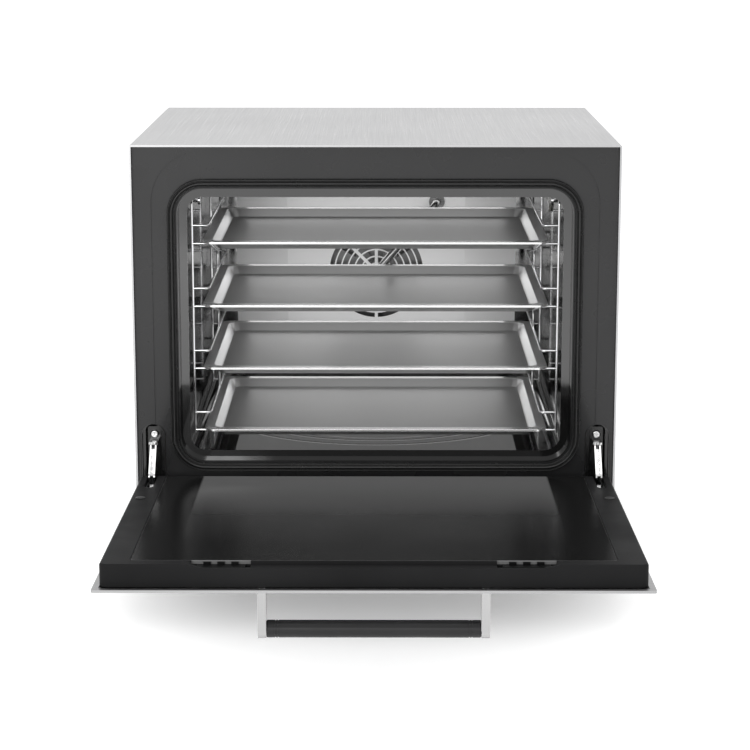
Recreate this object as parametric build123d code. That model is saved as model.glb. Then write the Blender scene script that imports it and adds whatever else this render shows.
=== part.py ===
from build123d import *
import math
import os

# Countertop combi steamer oven with a drop-down door, shown with the door open.
# Millimetres. +X is to the user's right, -Y towards the user, +Z up.
# Origin: centre of the casing's footprint, on the counter.

# ---------------------------------------------------------------- driving dimensions
# Whole oven
WIDTH = 602.0
HEIGHT = 537.0
CASE_DEPTH = 500.0
FOOT_HEIGHT = 25.0
SHEET = 1.5  # casing and front sheet
LINER = 1.2  # cavity sheet
FRONT = -CASE_DEPTH / 2
BACK = CASE_DEPTH / 2
HALF = WIDTH / 2
BASE_Z = FOOT_HEIGHT

# Casing
HEM = 2.4  # folded front edge of the casing
HEM_DEPTH = 10.0
CASE_BEND = 2.5
FLANGE = 14.0
SIDE_VENTS = 8
SIDE_VENT_PITCH = 11.0
SIDE_VENT_LENGTH = 80.0
REAR_VENTS = 9
REAR_VENT_PITCH = 16.0
REAR_VENT_LENGTH = 120.0
BASE_VENTS = 13
BASE_VENT_PITCH = 26.0
FOOT_X = 262.0
FOOT_Y = 212.0
FOOT_RADIUS = 20.0
STEM_RADIUS = 4.0

# Front frame
FRAME_Y = FRONT + 6.0  # front frame stands back from the casing edge
FRAME_EMBOSS = 1.5
FRAME_BOTTOM = 86.0
FIELD_HALF = 276.0  # sunk field of the front frame
FIELD_BOTTOM = 98.0
FIELD_TOP = 530.0
FIELD_RADIUS = 65.0

# Cavity and its mouth
MOUTH_HALF = 233.0  # clear opening of the cavity
MOUTH_BOTTOM = 149.6
MOUTH_TOP = 471.0
MOUTH_RADIUS = 20.0
LIP_WIDTH = 12.0
GASKET_WIDTH = 10.5
NECK_Y = FRAME_Y + 1.0
LEDGE_Y = FRONT + 18.0
CAVITY_HALF = 237.0
CAVITY_FLOOR = 140.0
CAVITY_TOP = 480.0
CAVITY_BACK = FRONT + 450.0
CAVITY_CORNER = 15.0
DISH_X = 188.0  # half axes of the oval dish in the cavity floor
DISH_Y = 130.0
DISH_STEP = 2.0
DISH_STEPS = 2
WOOL = 22.0

# Fan cover, fan and heater
COVER_Y = FRONT + 395.0  # fan cover plane
COVER_HALF = 197.0
COVER_FLAT = 125.0
COVER_TOP = 440.0
COVER_BOTTOM = 192.0
WING_SET = 12.0  # how far the cover's wings fall back
FAN_Z = 316.0
GRILLE_RADIUS = 66.0
GRILLE_HUB = 6.5
GRILLE_RINGS = (11.4, 21.2, 31.0, 40.5, 49.7, 58.7, GRILLE_RADIUS + 1)
GRILLE_LINE = 2.0
GRILLE_SPOKE = 4.4
WHEEL_RADIUS = 84.0
WHEEL_SHEET = 1.5
WHEEL_HUB = 12.0
BLADES = 12
SHAFT_RADIUS = 4.0
MOTOR_RADIUS = 46.0
MOTOR_Y = CAVITY_BACK + 6.0
MOTOR_RIBS = 4
ELEMENT_R = 96.0
ELEMENT_WIRE = 4.0
ELEMENT_TERMINAL = 14.0
ELEMENT_END_Z = FAN_Z - math.sqrt(ELEMENT_R**2 - ELEMENT_TERMINAL**2)

# Steam pipe, probe and lamp
PIPE_X = 85.0
PIPE_Z = 415.0
PIPE_RADIUS = 5.2
HOSE_RADIUS = 7.5
PROBE_X = -120.0
PROBE_Z = 458.0
LAMP_Y = 45.0
LAMP_Z = 440.0
LAMP_RADIUS = 22.0
LAMP_DEPTH = 44.0

# Racks and trays
WIRE = 3.2
RACK_HALF = 230.0
RACK_FRONT = FRONT + 54.0
RACK_BACK = FRONT + 360.0
RACK_TOP = 464.0
RAIL_HALF = 210.0
GUARD_ABOVE = 23.0  # guard wire above each support wire
TRAY_COUNT = 4
TRAY_WIDTH = 435.0
TRAY_LENGTH = 320.0
TRAY_DEPTH = 10.0
TRAY_FLANGE = 12.0
TRAY_SLOPE = 8.5
TRAY_SHEET = 1.2
TRAY_HEM = 2.6
TRAY_CORNER = 16.0
TRAY_FRONT = FRONT + 37.0
TRAY_PITCH = 80.0
TRAY_TOP_RIM = 412.0

# Hinges
PIVOT_Y = FRONT - 17.0
PIVOT_Z = 107.0
DOOR_OPEN = 88.0
HINGE_X = 279.0
HINGE_ARM = 8.0  # arm thickness across the oven
ARM_ROOT_Z = PIVOT_Z + 50.0
RECESS_HALF = 15.5
RECESS_TOP = 186.0
POCKET_HALF = 10.0
POCKET_DEPTH = 34.0
PIN_RADIUS = 3.0
PIN_PLAY = 0.07
RECEIVER_Y = FRONT + 24.0
RECEIVER_SCREW_Z = 169.5
CHANNEL_HALF = 6.6
CHANNEL_TOP = 245.0
SPRING_BOTTOM = 162.0
SPRING_PITCH = 3.6
SPRING_RADIUS = 3.4
SPRING_WIRE = 0.9

# Door, modelled closed
DOOR_INNER_Y = FRONT - 2.0
DOOR_OUTER_Y = FRONT - 30.0
DOOR_BOTTOM = 91.0
DOOR_TOP = 535.5
FACE_BACK = DOOR_INNER_Y - 7.0
FRAME_HALF = 294.0
FRAME_TOP = DOOR_TOP - 12.0
FRAME_SKIN = 2.5
SLOT_HALF = 6.0
SLOT_TOP = 158.0
GLASS_HALF = 262.0
GLASS_BOTTOM = 94.5
GLASS_TOP = 505.0
GLASS_BACK = DOOR_INNER_Y - 4.2
DIP_HALF = 182.0  # dipped middle of the inner frame's far rim
DIP_RAMP = 18.0
DIP_DEPTH = 4.5
CLIP_X = 164.0
CLIP_HALF = 26.0
PLUG_X = HINGE_X + 3.0
PLUG_Z = 216.0
WINDOW_HALF = 232.0
WINDOW_BOTTOM = 160.0
WINDOW_TOP = 470.0

# Handle
HANDLE_X = 119.5
HANDLE_STANDOFF = 52.0
GRIP_DIAMETER = 19.0
GRIP_Z = DOOR_TOP - 12.0
GRIP_Y = DOOR_OUTER_Y - HANDLE_STANDOFF + GRIP_DIAMETER / 2
BRACKET_HALF = 4.7
TUBE_RADIUS = 3.95
SCREW_RADIUS = 2.5

# Control panel
PANEL_BOTTOM = 27.0
PANEL_TOP = 84.0
PANEL_Y = FRONT - 28.0
CONTROL_Z = 55.0
KNOB_XS = (-215.0, -120.0, -25.0)
KNOB_RADIUS = 17.5
DIAL_MARKS = 11
DIAL_RADIUS = 23.0
BUTTON_XS = (90.0, 130.0)
BUTTON_RADIUS = 7.5
BUTTON_STEM = 2.0
LAMP_XS = (190.0, 215.0, 240.0)
SPINDLE_RADIUS = 3.0
SWITCH_Y = FRONT - 22.0

# Rear services
SERVICE_Z = 75.0
GLAND_X = 220.0
GLAND_BORE = 5.5
INLET_X = -220.0
INLET_RADIUS = 13.2
INLET_LENGTH = 14.0
VALVE_HALF = 15.0
NOZZLE_RADIUS = 5.0
EXHAUST_X = 150.0
EXHAUST_Y = 165.0
EXHAUST_Z = 500.0
EXHAUST_RADIUS = 15.0
EXHAUST_LENGTH = 35.0
COOLER_X = 145.0
COOLER_Z = 78.0
COOLER_HALF = 40.0
COOLER_DEPTH = 25.0
COOLER_BORE = 38.0
VANES = 7


# ---------------------------------------------------------------- helpers
def block(x0, x1, y0, y1, z0, z1):
    """A box given by its two limits along each axis."""
    size = (x1 - x0, y1 - y0, z1 - z0)
    centre = ((x0 + x1) / 2, (y0 + y1) / 2, (z0 + z1) / 2)
    return Pos(*centre) * Box(*size)


def rod_y(x, z, radius, y0, y1):
    """A round bar along Y."""
    return Pos(x, (y0 + y1) / 2, z) * Rot(90, 0, 0) * Cylinder(radius, y1 - y0)


def rod_x(y, z, radius, x0, x1):
    """A round bar along X."""
    return Pos((x0 + x1) / 2, y, z) * Rot(0, 90, 0) * Cylinder(radius, x1 - x0)


def rod_z(x, y, radius, z0, z1):
    """A round bar along Z."""
    return Pos(x, y, (z0 + z1) / 2) * Cylinder(radius, z1 - z0)


def front_slab(half, z0, z1, radius, y0, y1):
    """A rounded rectangle, centred on X = 0 and seen from the front, between two Y planes."""
    outline = RectangleRounded(2 * half, z1 - z0, radius)
    return Pos(0, y1, (z0 + z1) / 2) * Rot(90, 0, 0) * extrude(outline, y1 - y0)


def wire_path(points, radius, diameter=WIRE):
    """A bent wire through the points, with rounded corners."""
    line = FilletPolyline(*points, radius=radius) if len(points) > 2 else Line(*points)
    section = Plane(origin=line @ 0, z_dir=line % 0) * Circle(diameter / 2)
    return sweep(section, path=line)


def pan_screw(x, y, z, radius=4.0, depth=3.0, facing=-1):
    """A domed screw head on a wall square to Y, with a cross recess. facing -1 looks to the front."""
    head = rod_y(x, z, radius, min(y, y + facing * depth), max(y, y + facing * depth))
    top = y + facing * depth
    rim = head.edges().filter_by(GeomType.CIRCLE).sort_by(Axis.Y)[0 if facing < 0 else -1]
    head = fillet(rim, depth * 0.6)
    slot = Box(radius * 1.1, depth, radius * 0.25)
    cross = slot + Rot(0, 90, 0) * slot
    return head - Pos(x, top + facing * depth * -0.1, z) * cross


def opened(shape):
    """A door piece, modelled closed, swung open about the hinge pins."""
    return Pos(0, PIVOT_Y, PIVOT_Z) * Rot(DOOR_OPEN, 0, 0) * Pos(0, -PIVOT_Y, -PIVOT_Z) * shape


def group(*shapes):
    """Several separate solids kept as one node."""
    solids = []
    for shape in shapes:
        solids.extend(shape.solids())
    return Compound(children=solids)


def save(name, shape):
    """Writes one node's STEP file."""
    export_step(shape, f"parts/{name}.step")


# ---------------------------------------------------------------- casing
def outer_casing():
    """Top and both sides bent from one sheet, with a folded front hem and bottom flanges."""
    shell = block(-HALF, HALF, FRONT, BACK, BASE_Z, HEIGHT)
    corners = shell.edges().filter_by(Axis.Y).sort_by(Axis.Z)[-2:]
    shell = fillet(corners, CASE_BEND)
    shell -= block(-HALF + SHEET, HALF - SHEET, FRONT - 1, BACK + 1, BASE_Z - 1, HEIGHT - SHEET)
    hem = block(-HALF + SHEET, HALF - SHEET, FRONT, FRONT + HEM_DEPTH, BASE_Z, HEIGHT - SHEET)
    hem -= block(-HALF + HEM, HALF - HEM, FRONT - 1, BACK, BASE_Z - 1, HEIGHT - HEM)
    shell += hem
    for side in (-1, 1):
        flange_in, flange_out = side * (HALF - FLANGE), side * (HALF - SHEET)
        low, high = sorted((flange_in, flange_out))
        shell += block(low, high, FRONT + HEM_DEPTH + 4, BACK, BASE_Z, BASE_Z + SHEET)
        for row in range(SIDE_VENTS):
            slot = Box(SIDE_VENT_LENGTH, 3.2, 8)
            z = 150 + row * SIDE_VENT_PITCH
            place = Pos(side * HALF, BACK - 95, z) * Rot(0, 0, 90) * Rot(90, 0, 0)
            shell -= place * slot
    return shell


def base_plate():
    """Floor of the casing: a tray with a turned-up rear edge and vent slots."""
    half = HALF - FLANGE - 0.5
    plate = block(-half, half, FRONT + 3, BACK - 2, BASE_Z, BASE_Z + SHEET)
    plate += block(-half, half, BACK - 2 - SHEET, BACK - 2, BASE_Z, BASE_Z + 10)
    for column in range(BASE_VENTS):
        x = (column - (BASE_VENTS - 1) / 2) * BASE_VENT_PITCH
        plate -= Pos(x, 110, BASE_Z) * Box(5, 90, 10)
    for x in (-FOOT_X, FOOT_X):
        for y in (-FOOT_Y, FOOT_Y):
            plate -= rod_z(x, y, STEM_RADIUS + 0.2, BASE_Z - 5, BASE_Z + 5)
    return plate


def rear_panel():
    """Back sheet with louvred vents and holes for the services."""
    half = HALF - SHEET - 0.2
    panel = block(-half, half, BACK - SHEET, BACK, BASE_Z + SHEET + 0.2, HEIGHT - SHEET - 0.2)
    for side in (-1, 1):
        for row in range(REAR_VENTS):
            z = 330 + row * REAR_VENT_PITCH
            panel -= Pos(side * 165, BACK, z) * Box(REAR_VENT_LENGTH, 8, 5)
            hood = Pos(side * 165, BACK + 1.2, z + 4.6) * Rot(28, 0, 0) * Box(REAR_VENT_LENGTH, 1.2, 9)
            panel += hood
    for column in range(-4, 5):
        for row in range(-4, 5):
            if math.hypot(column, row) < 4.3:
                panel -= rod_y(COOLER_X + column * 8, COOLER_Z + row * 8, 2.6, BACK - 5, BACK + 5)
    panel -= rod_y(EXHAUST_X, EXHAUST_Z, EXHAUST_RADIUS + 1.5, BACK - 10, BACK + 10)
    panel -= rod_y(INLET_X, SERVICE_Z, INLET_RADIUS + 1.3, BACK - 10, BACK + 10)
    panel -= rod_y(GLAND_X, SERVICE_Z, 11.0, BACK - 10, BACK + 10)
    return panel


def screw_grid(xs, zs, y, radius, facing):
    """Equal pan screws at every crossing of the given X and Z places."""
    screws = [pan_screw(x, y, z, radius, 2.6, facing) for x in xs for z in zs]
    return group(*screws)


def feet():
    """Four round adjustable feet with threaded stems."""
    bodies = []
    for x in (-FOOT_X, FOOT_X):
        for y in (-FOOT_Y, FOOT_Y):
            foot = Pos(x, y, FOOT_HEIGHT / 2) * Cone(FOOT_RADIUS - 3, FOOT_RADIUS, FOOT_HEIGHT)
            foot = fillet(foot.edges().sort_by(Axis.Z)[0], 2)
            foot += rod_z(x, y, STEM_RADIUS, FOOT_HEIGHT, FOOT_HEIGHT + 12)
            bodies.append(foot)
    return group(*bodies)


def front_frame():
    """Pressed front sheet: a sunk field with large corners round the cavity mouth."""
    half, top = HALF - HEM - 0.2, HEIGHT - HEM - 0.2
    back_y = FRAME_Y + FRAME_EMBOSS + SHEET
    frame = block(-half, half, FRAME_Y, back_y, FRAME_BOTTOM, top)
    frame -= front_slab(
        FIELD_HALF, FIELD_BOTTOM, FIELD_TOP, FIELD_RADIUS, FRAME_Y - 1, FRAME_Y + FRAME_EMBOSS
    )
    grown = front_slab(
        FIELD_HALF + SHEET, FIELD_BOTTOM - SHEET, FIELD_TOP + SHEET, FIELD_RADIUS + SHEET,
        FRAME_Y, back_y + 1,
    )
    rim_back = block(-half - 1, half + 1, FRAME_Y + SHEET, back_y + 1, FRAME_BOTTOM - 1, top + 1)
    frame -= rim_back - grown
    frame -= front_slab(
        MOUTH_HALF + LIP_WIDTH, MOUTH_BOTTOM - LIP_WIDTH, MOUTH_TOP + LIP_WIDTH,
        MOUTH_RADIUS + LIP_WIDTH, FRAME_Y - 5, back_y + 5,
    )
    for side in (-1, 1):
        frame -= hinge_opening(side, RECESS_HALF, FRAME_Y - 5, back_y + 5)
    return frame


def hinge_opening(side, half, y0, y1):
    """A round-topped opening for a hinge arm, from below the frame up to RECESS_TOP."""
    x = side * HINGE_X
    opening = block(x - half, x + half, y0, y1, FRAME_BOTTOM - 5, RECESS_TOP - half)
    return opening + rod_y(x, RECESS_TOP - half, half, y0, y1)


def hinge_pocket(side):
    """A flared cup pressed behind the frame that the hinge arm stands in."""
    x = side * HINGE_X
    y0, y1 = FRAME_Y + 0.2, FRAME_Y + POCKET_DEPTH
    outer = hinge_opening(side, RECESS_HALF - 0.4, y0, y1)
    inner = hinge_opening(side, POCKET_HALF, y0 - 1, y1 - SHEET)
    cup = outer - inner
    flare = rod_y(x, RECESS_TOP - RECESS_HALF, RECESS_HALF - 1.5, y0 - 1, y0 + 5)
    flare += block(
        x - RECESS_HALF + 1.5, x + RECESS_HALF - 1.5, y0 - 1, y0 + 5,
        FRAME_BOTTOM - 6, RECESS_TOP - RECESS_HALF,
    )
    cup -= flare
    floor = block(x - 30, x + 30, y0 - 5, y1 + 5, FRAME_BOTTOM - 10, FRAME_BOTTOM + 0.1)
    cup -= floor
    return cup


# ---------------------------------------------------------------- cavity
def mouth_slab(grow, y0, y1):
    """The cavity mouth's outline, grown by a margin, between two Y planes."""
    return front_slab(
        MOUTH_HALF + grow, MOUTH_BOTTOM - grow, MOUTH_TOP + grow, MOUTH_RADIUS + grow, y0, y1
    )


def cavity_slab(grow, y0, y1):
    """The cavity's section, grown by a margin, between two Y planes."""
    return front_slab(
        CAVITY_HALF + grow, CAVITY_FLOOR - grow, CAVITY_TOP + grow, CAVITY_CORNER + grow, y0, y1
    )


def cavity_liner():
    """Welded cavity: neck, front ledge, walls and a floor pressed into a stepped oval dish."""
    liner = cavity_slab(LINER, LEDGE_Y, CAVITY_BACK + LINER)
    for index in range(DISH_STEPS):
        depth = (index + 1) * DISH_STEP + LINER
        oval = Ellipse(DISH_X - index * 16 + LINER, DISH_Y - index * 14 + LINER)
        liner += Pos(0, 0, CAVITY_FLOOR - depth) * extrude(oval, DISH_STEP + LINER)
    liner -= cavity_slab(0, LEDGE_Y + LINER, CAVITY_BACK)
    for index in range(DISH_STEPS):
        depth = (index + 1) * DISH_STEP
        oval = Ellipse(DISH_X - index * 16, DISH_Y - index * 14)
        liner -= Pos(0, 0, CAVITY_FLOOR - depth) * extrude(oval, DISH_STEP + 1)
    ledge = mouth_slab(LIP_WIDTH - 0.2, NECK_Y, LEDGE_Y + LINER)
    ledge -= mouth_slab(LIP_WIDTH - 0.2 - LINER, NECK_Y - 1, LEDGE_Y)
    liner += ledge
    liner -= mouth_slab(0, LEDGE_Y - 1, LEDGE_Y + LINER + 1)
    liner -= rod_y(0, FAN_Z, 9.0, CAVITY_BACK - 5, CAVITY_BACK + 5)
    liner -= rod_y(PIPE_X, PIPE_Z, PIPE_RADIUS + 0.5, CAVITY_BACK - 5, CAVITY_BACK + 5)
    liner -= rod_y(PROBE_X, PROBE_Z, 3.5, CAVITY_BACK - 5, CAVITY_BACK + 5)
    for x in (-ELEMENT_TERMINAL, ELEMENT_TERMINAL):
        liner -= rod_y(x, ELEMENT_END_Z, ELEMENT_WIRE + 0.3, CAVITY_BACK - 5, CAVITY_BACK + 5)
    liner -= rod_z(EXHAUST_X, EXHAUST_Y, EXHAUST_RADIUS - 1.5, CAVITY_TOP - 5, CAVITY_TOP + 5)
    liner -= rod_x(LAMP_Y, LAMP_Z, LAMP_RADIUS, CAVITY_HALF - 5, CAVITY_HALF + 5)
    return liner


def door_gasket():
    """Hollow silicone seal round the mouth: a base strip and a round bulb."""
    front = DOOR_INNER_Y + 0.4
    base = FRAME_Y + FRAME_EMBOSS
    inner = LIP_WIDTH + 1.5
    outer = inner + GASKET_WIDTH
    seal = mouth_slab(outer, front, base) - mouth_slab(inner, front - 1, base + 1)
    seal = fillet(seal.faces().sort_by(Axis.Y)[0].edges(), 3.6)
    groove = mouth_slab(outer + 1, base - 2.6, base - 1.6) - mouth_slab(outer - 1.2, base - 3, base)
    return seal - groove


def insulation():
    """Mineral-wool blanket round the cavity, clear of the lamp and the exhaust pipe."""
    start, end = LEDGE_Y + 6, CAVITY_BACK + LINER + 12
    wool = cavity_slab(LINER + WOOL, start, end)
    wool -= cavity_slab(LINER + 0.3, start - 1, CAVITY_BACK + LINER + 0.3)
    oval = Ellipse(DISH_X + 4, DISH_Y + 4)
    wool -= Pos(0, 0, CAVITY_FLOOR - 12) * extrude(oval, 20)
    wool -= rod_y(0, FAN_Z, MOTOR_RADIUS + 2, CAVITY_BACK - 5, end + 5)
    wool -= rod_y(PIPE_X, PIPE_Z, HOSE_RADIUS + 2, CAVITY_BACK - 5, end + 5)
    wool -= rod_y(PROBE_X, PROBE_Z, 12, CAVITY_BACK - 5, end + 5)
    for x in (-ELEMENT_TERMINAL, ELEMENT_TERMINAL):
        wool -= rod_y(x, ELEMENT_END_Z, 9, CAVITY_BACK - 5, end + 5)
    clear = EXHAUST_RADIUS + 5
    wool -= block(
        EXHAUST_X - clear, EXHAUST_X + clear, EXHAUST_Y - clear, BACK,
        CAVITY_TOP, CAVITY_TOP + 60,
    )
    wool -= rod_x(LAMP_Y, LAMP_Z, LAMP_RADIUS + 5, CAVITY_HALF, CAVITY_HALF + 60)
    for side in (-1, 1):
        low, high = sorted((side * (HINGE_X - 18), side * (HINGE_X + 18)))
        wool -= block(low, high, start - 5, FRAME_Y + POCKET_DEPTH + 2, 80, RECESS_TOP + 4)
    return wool


def fan_cover():
    """Folded cover in front of the fan with a round grille of ring slots."""
    plan = Polyline(
        (-COVER_HALF, CAVITY_BACK - 0.2), (-COVER_HALF, COVER_Y + WING_SET),
        (-COVER_FLAT, COVER_Y), (COVER_FLAT, COVER_Y),
        (COVER_HALF, COVER_Y + WING_SET), (COVER_HALF, CAVITY_BACK - 0.2),
        (COVER_HALF - SHEET, CAVITY_BACK - 0.2), (COVER_HALF - SHEET, COVER_Y + WING_SET + 1.2),
        (COVER_FLAT - 0.3, COVER_Y + SHEET), (-COVER_FLAT + 0.3, COVER_Y + SHEET),
        (-COVER_HALF + SHEET, COVER_Y + WING_SET + 1.2), (-COVER_HALF + SHEET, CAVITY_BACK - 0.2),
        close=True,
    )
    cover = Pos(0, 0, COVER_BOTTOM) * extrude(make_face(plan), COVER_TOP - COVER_BOTTOM)
    slots = None
    inner = GRILLE_HUB
    for ring in GRILLE_RINGS:
        band = Circle(ring - GRILLE_LINE / 2) - Circle(inner)
        slots = band if slots is None else slots + band
        inner = ring + GRILLE_LINE / 2
    spokes = Rectangle(2 * GRILLE_RADIUS, GRILLE_SPOKE)
    for turn in (45, 90, 135):
        spokes += Rot(0, 0, turn) * Rectangle(2 * GRILLE_RADIUS, GRILLE_SPOKE)
    cut = Pos(0, COVER_Y + 6, FAN_Z) * Rot(90, 0, 0) * extrude(slots - spokes, 12)
    cover -= cut
    cover -= rod_y(PIPE_X, PIPE_Z, PIPE_RADIUS + 0.5, COVER_Y - 5, COVER_Y + 8)
    return cover


def fan_wheel():
    """Radial convection wheel on its motor shaft."""
    back = COVER_Y + 42
    wheel = rod_y(0, FAN_Z, WHEEL_RADIUS, back, back + WHEEL_SHEET)
    wheel += rod_y(0, FAN_Z, WHEEL_HUB, COVER_Y + 26, back + WHEEL_SHEET)
    wheel += rod_y(0, FAN_Z, SHAFT_RADIUS, back, MOTOR_Y + 14)
    blade = block(34, WHEEL_RADIUS - 1, COVER_Y + 13.4, back + 0.7, -0.75, 0.75)
    blade += block(11, 34, back - 8, back + 0.7, -0.75, 0.75)
    for index in range(BLADES):
        wheel += Pos(0, 0, FAN_Z) * Rot(0, index * 360 / BLADES, 0) * blade
    ring = rod_y(0, FAN_Z, WHEEL_RADIUS, COVER_Y + 12.6, COVER_Y + 14.1)
    ring -= rod_y(0, FAN_Z, WHEEL_RADIUS - 12, COVER_Y + 10, COVER_Y + 16)
    return wheel + ring


def fan_motor():
    """Fan motor with cooling ribs, held behind the cavity's back wall on a flange."""
    end = BACK - 5
    motor = rod_y(0, FAN_Z, MOTOR_RADIUS - 4, MOTOR_Y, end)
    flange = rod_y(0, FAN_Z, MOTOR_RADIUS, CAVITY_BACK + LINER + 0.1, MOTOR_Y)
    motor += flange
    for index in range(MOTOR_RIBS):
        motor += rod_y(0, FAN_Z, MOTOR_RADIUS, MOTOR_Y + 8 + index * 7, MOTOR_Y + 10 + index * 7)
    motor -= rod_y(0, FAN_Z, SHAFT_RADIUS + 0.08, CAVITY_BACK, MOTOR_Y + 15)
    return motor


def heating_element():
    """Two-turn ring element round the fan wheel, its ends led out through the back wall."""
    rings = None
    for y in (COVER_Y + 24, COVER_Y + 36):
        ring = Pos(0, y, FAN_Z) * Rot(90, 0, 0) * Torus(ELEMENT_R, ELEMENT_WIRE)
        rings = ring if rings is None else rings + ring
    for x in (-ELEMENT_TERMINAL, ELEMENT_TERMINAL):
        rings += rod_y(x, ELEMENT_END_Z, ELEMENT_WIRE - 0.6, COVER_Y + 24, CAVITY_BACK + 9)
    return rings


def steam_pipe():
    """Bent water pipe from the back wall, through the cover, to the middle of the grille."""
    points = [
        (PIPE_X, CAVITY_BACK + 20, PIPE_Z),
        (PIPE_X, COVER_Y - 17, PIPE_Z),
        (6, COVER_Y - 17, FAN_Z + 9),
    ]
    line = FilletPolyline(*points, radius=13)
    section = Plane(origin=line @ 0, z_dir=line % 0) * (Circle(PIPE_RADIUS) - Circle(PIPE_RADIUS - 1.2))
    pipe = sweep(section, path=line)
    flange = rod_y(PIPE_X, PIPE_Z, 11, COVER_Y - 2, COVER_Y - 0.1)
    flange -= rod_y(PIPE_X, PIPE_Z, PIPE_RADIUS - 0.2, COVER_Y - 5, COVER_Y + 5)
    return pipe + flange


def temperature_probe():
    """Thin sheathed probe through the back wall above the fan cover."""
    probe = rod_y(PROBE_X, PROBE_Z, 2.5, COVER_Y + 8, CAVITY_BACK + 24)
    probe = fillet(probe.edges().filter_by(GeomType.CIRCLE).sort_by(Axis.Y)[0], 1.5)
    nut = Pos(PROBE_X, CAVITY_BACK - 4, PROBE_Z) * Rot(-90, 0, 0) * extrude(RegularPolygon(7, 6), 4)
    return probe + nut


def lamp_housing():
    """Round lamp holder behind the right wall."""
    start = CAVITY_HALF + LINER + 0.1
    cup = rod_x(LAMP_Y, LAMP_Z, LAMP_RADIUS + 4, start, start + LAMP_DEPTH)
    cup -= rod_x(LAMP_Y, LAMP_Z, LAMP_RADIUS + 1.5, start - 1, start + LAMP_DEPTH - 4)
    cup -= rod_x(LAMP_Y, LAMP_Z, 7.1, start, start + 50)
    return cup


def lamp_bulb():
    """Small capsule bulb on its base."""
    start = CAVITY_HALF + 8
    bulb = rod_x(LAMP_Y, LAMP_Z, 7.0, start + 22, start + 38)
    bulb += rod_x(LAMP_Y, LAMP_Z, 9.0, start + 6, start + 22)
    bulb += Pos(start + 6, LAMP_Y, LAMP_Z) * Sphere(9.0)
    return bulb


def lamp_lens():
    """Ribbed glass cover of the lamp, in a screwed ring."""
    lens = rod_x(LAMP_Y, LAMP_Z, LAMP_RADIUS - 0.4, CAVITY_HALF - 2, CAVITY_HALF + 4)
    lens += rod_x(LAMP_Y, LAMP_Z, LAMP_RADIUS + 3, CAVITY_HALF - 3.4, CAVITY_HALF - 0.1)
    lens = fillet(lens.edges().filter_by(GeomType.CIRCLE).sort_by(Axis.X)[0], 1.5)
    for radius in (8, 14):
        ring = rod_x(LAMP_Y, LAMP_Z, radius + 1, CAVITY_HALF - 5, CAVITY_HALF - 2.8)
        ring -= rod_x(LAMP_Y, LAMP_Z, radius, CAVITY_HALF - 6, CAVITY_HALF)
        lens -= ring
    return lens


# ---------------------------------------------------------------- racks and trays
def rim_height(level):
    """Height of a tray's rim, level 0 at the top."""
    return TRAY_TOP_RIM - level * TRAY_PITCH


def rail_height(level):
    """Axis height of the wire that a tray's flange slides on."""
    return rim_height(level) - TRAY_HEM - WIRE / 2 - 0.3


def side_rack(side):
    """Wire rack: two posts, a top wire, and a support and a guard rail for each tray."""
    post_x, rail_x = side * RACK_HALF, side * RAIL_HALF
    bottom = rail_height(TRAY_COUNT - 1) - 4
    frame = [
        (post_x, RACK_FRONT, bottom), (post_x, RACK_FRONT, RACK_TOP),
        (post_x, RACK_BACK, RACK_TOP), (post_x, RACK_BACK, bottom),
    ]
    rack = wire_path(frame, 8)
    for level in range(TRAY_COUNT):
        support = rail_height(level)
        for z in (support, support + GUARD_ABOVE):
            loop = [
                (post_x, RACK_FRONT, z), (rail_x, RACK_FRONT, z),
                (rail_x, RACK_BACK, z), (post_x, RACK_BACK, z),
            ]
            rack += wire_path(loop, 5)
        if level < TRAY_COUNT - 1:
            brace = [
                (rail_x, RACK_FRONT + 6, support), (rail_x, RACK_FRONT + 155, support - 33),
                (rail_x, RACK_FRONT + 155, support + GUARD_ABOVE - TRAY_PITCH),
            ]
            rack += wire_path(brace, 6)
    return rack


def rack_studs():
    """Headed studs on the cavity walls that the racks' top wires hang on."""
    studs = []
    z = RACK_TOP - WIRE / 2 - 4.05
    for side in (-1, 1):
        for y in (RACK_FRONT + 40, RACK_BACK - 40):
            low, high = sorted((side * CAVITY_HALF, side * (RACK_HALF - 5)))
            stem = rod_x(y, z, 4.0, low, high)
            low, high = sorted((side * (RACK_HALF - 5), side * (RACK_HALF - 8)))
            studs.append(stem + rod_x(y, z, 7.0, low, high))
    return group(*studs)


def tray(level):
    """Shallow baking tray with sloping sides, a flat flange and a turned-down hem."""
    z = rim_height(level)
    middle = TRAY_FRONT + TRAY_LENGTH / 2
    inner_w, inner_l = TRAY_WIDTH - 2 * TRAY_FLANGE, TRAY_LENGTH - 2 * TRAY_FLANGE
    floor_w, floor_l = inner_w - 2 * TRAY_SLOPE, inner_l - 2 * TRAY_SLOPE

    def pan(grow, top, bottom):
        """The tray's sloping hollow, grown by a margin, between two heights."""
        upper = RectangleRounded(inner_w + 2 * grow, inner_l + 2 * grow, 14 + grow)
        lower = RectangleRounded(floor_w + 2 * grow, floor_l + 2 * grow, 8 + grow)
        return loft(Sketch() + [Pos(0, middle, top) * upper, Pos(0, middle, bottom) * lower])

    outline = RectangleRounded(TRAY_WIDTH, TRAY_LENGTH, TRAY_CORNER)
    flange = Pos(0, middle, z - TRAY_SHEET) * extrude(outline, TRAY_SHEET)
    rim = outline - RectangleRounded(TRAY_WIDTH - 4, TRAY_LENGTH - 4, TRAY_CORNER - 2)
    body = flange + Pos(0, middle, z - TRAY_HEM) * extrude(rim, TRAY_HEM)
    edge = body.edges().filter_by(lambda e: abs(e.center().Z - z) < 0.01)
    body = fillet(edge, 0.55)
    body += pan(TRAY_SHEET * 0.9, z - 0.2, z - TRAY_DEPTH - TRAY_SHEET)
    body -= pan(0, z, z - TRAY_DEPTH)
    body -= Pos(0, middle, z - 0.5) * extrude(RectangleRounded(inner_w, inner_l, 14), 2)
    return body


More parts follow.
